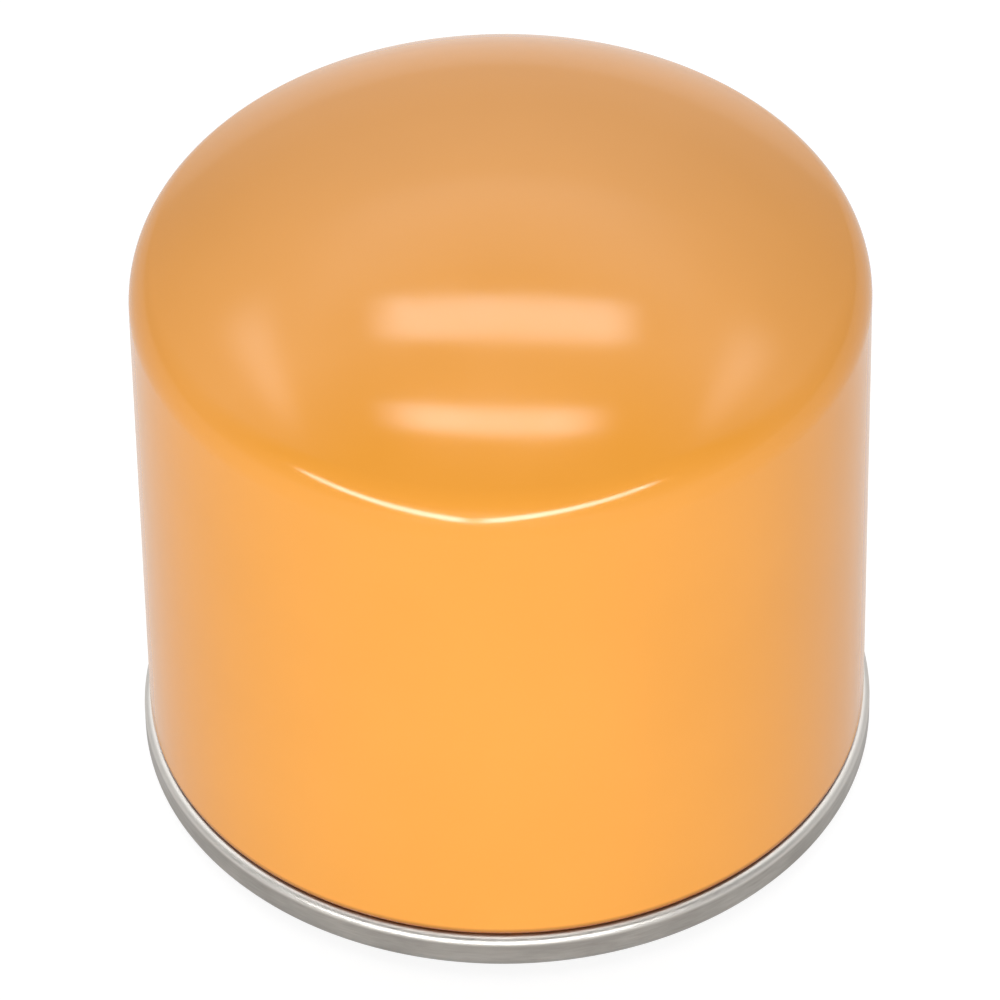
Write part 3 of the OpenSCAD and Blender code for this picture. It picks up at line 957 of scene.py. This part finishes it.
def tapered_sheet(name, glow, start, end, halves, across, soft_u, soft_v):
    """A sheet between two directions from the object. halves gives its half width at each end."""
    a, b, side = Vector(start).normalized(), Vector(end).normalized(), Vector(across).normalized()

    def spot(u, v):
        half = halves[0] + (halves[1] - halves[0]) * u
        return STAGE_CENTRE + SHEET_DISTANCE * (a.lerp(b, u) + side * half * (2 * v - 1))

    light_sheet(name, glow, spot, soft_u, soft_v)


# Two ceiling boxes show as the bright bands on the dome, and a wide dim one lifts the dome's far half.
ceiling_strip("strip_back", 4.8, -0.50, 0.53, 0.025, 0.274, soft_u=0.18, soft_v=0.24)
ceiling_strip("strip_front", 6.7, -0.52, 0.45, -0.333, -0.20, soft_u=0.28, soft_v=0.20)
ceiling_strip("ceiling_back", 0.45, -0.95, 0.95, 0.25, 1.15, soft_u=0.35, soft_v=0.25, bow=0, lean=0)

# These make the soft patches on the dome's shoulders, and the line along the bend over the front wall.
LEFT_ACROSS, RIGHT_ACROSS, UPRIGHT = (0.75, 0.2, 0.62), (0.75, -0.2, -0.62), (0, 0, 1)
SHOULDER_HALVES, BEND_HALVES = (0.15, 0.035), (0.110, 0.040)
for name, glow, start, end, halves, across, soft_u, soft_v in (
    ("side_left", 1.9, (-0.69, 0.54, 0.57), (-0.62, -0.18, 0.76), SHOULDER_HALVES, LEFT_ACROSS, 0.40, 0.5),
    ("side_right", 1.7, (0.72, 0.40, 0.60), (0.60, -0.20, 0.77), SHOULDER_HALVES, RIGHT_ACROSS, 0.40, 0.5),
    ("front_left", 15.0, (-0.13, -0.99, 0.02), (-0.83, -0.44, 0.37), BEND_HALVES, UPRIGHT, 0.12, 0.3),
    ("front_right", 15.0, (-0.15, -0.99, 0.02), (0.66, -0.63, 0.43), BEND_HALVES, UPRIGHT, 0.12, 0.3),
):
    tapered_sheet(name, glow, start, end, halves, across, soft_u, soft_v)


def soft_box(name, place, target, width, height, radiance):
    """A soft box that lights the object but isn't seen in it: radiance is power over pi times area."""
    data = bpy.data.lights.new(name, "AREA")
    data.shape = "RECTANGLE"
    data.size, data.size_y = width, height
    data.energy = radiance * math.pi * width * height
    ob = bpy.data.objects.new(name, data)
    bpy.context.scene.collection.objects.link(ob)
    ob.location = place
    ob.rotation_euler = (Vector(place) - Vector(target)).to_track_quat("Z", "Y").to_euler()
    ob.visible_glossy = ob.visible_camera = False


soft_box("front_key", (-0.10, -1.5, 0.34), (0, 0, 0.05), width=1.2, height=0.5, radiance=10.9)


def grey_steps(ramp, steps):
    points = ramp.color_ramp.elements
    for i, (at, v) in enumerate(steps):
        point = points[i] if i < len(points) else points.new(at)
        point.position = at
        point.color = grey(v)


WORLD_STRENGTH = 1.9
WORLD_SIDE_STRENGTH = 1.45
BACK_GREYS = ((0, 0.36), (0.30, 0.51), (0.60, 0.80), (0.78, 0.92), (0.90, 0.68), (1, 0.52))
FRONT_GREYS = ((0, 0.40), (0.20, 0.25), (0.45, 0.10), (0.68, 0.05), (0.90, 0.05), (0.985, 0.28), (1, 0.52))


def studio_world():
    """Soft surroundings: bright behind and overhead behind, darker at the sides, dark over the front."""
    world = bpy.data.worlds.new("studio")
    bpy.context.scene.world = world
    world.use_nodes = True
    world.node_tree.nodes.clear()
    n = Nodes(world.node_tree)
    direction = n.add("ShaderNodeTexCoord").outputs["Generated"]
    x, y, z = n.add("ShaderNodeSeparateXYZ", {0: direction}).outputs
    back, front = (n.add("ShaderNodeValToRGB", {0: z}) for _ in range(2))
    grey_steps(back, BACK_GREYS)
    grey_steps(front, FRONT_GREYS)
    colour = n.mix(n.ramp(y, -0.25, 0.15), front.outputs[0], back.outputs[0])
    strength = n.ramp(n.math("ABSOLUTE", x), 0.3, 0.9, WORLD_STRENGTH, WORLD_SIDE_STRENGTH)
    shade = n.add("ShaderNodeBackground", {"Color": colour, "Strength": strength})
    n.add("ShaderNodeOutputWorld", {0: shade.outputs[0]})


studio_world()

# ---------------------------------------------------------------- camera

FRAME_PIXELS = 1000.0
FOCAL_PIXELS = 8360.0
DISTANCE = 22.99 * CAN_R * MM
ELEVATION = 0.7376
ROLL = -0.0172


def frame_camera():
    aim = Vector((-0.0105 * CAN_R, 0, 0.7919 * CAN_R + SEAM_BASE + 0.32)) * MM
    eye = aim + DISTANCE * Vector((0, -math.cos(ELEVATION), math.sin(ELEVATION)))
    forward = (aim - eye).normalized()
    right = forward.cross(Vector((0, 0, 1))).normalized()
    up = right.cross(forward)
    c, s = math.cos(ROLL), math.sin(ROLL)
    right, up = c * right + s * up, c * up - s * right
    camera = bpy.data.objects.new("camera", bpy.data.cameras.new("camera"))
    bpy.context.scene.collection.objects.link(camera)
    camera.data.sensor_width = 36.0
    camera.data.lens = FOCAL_PIXELS / FRAME_PIXELS * camera.data.sensor_width
    camera.data.clip_start, camera.data.clip_end = 0.1, 20.0
    turned = Matrix((right, up, -forward)).transposed()
    camera.matrix_world = Matrix.Translation(eye) @ turned.to_4x4()
    bpy.context.scene.camera = camera


frame_camera()
bpy.context.scene.view_settings.view_transform = "Standard"
bpy.context.scene.view_settings.look = "None"
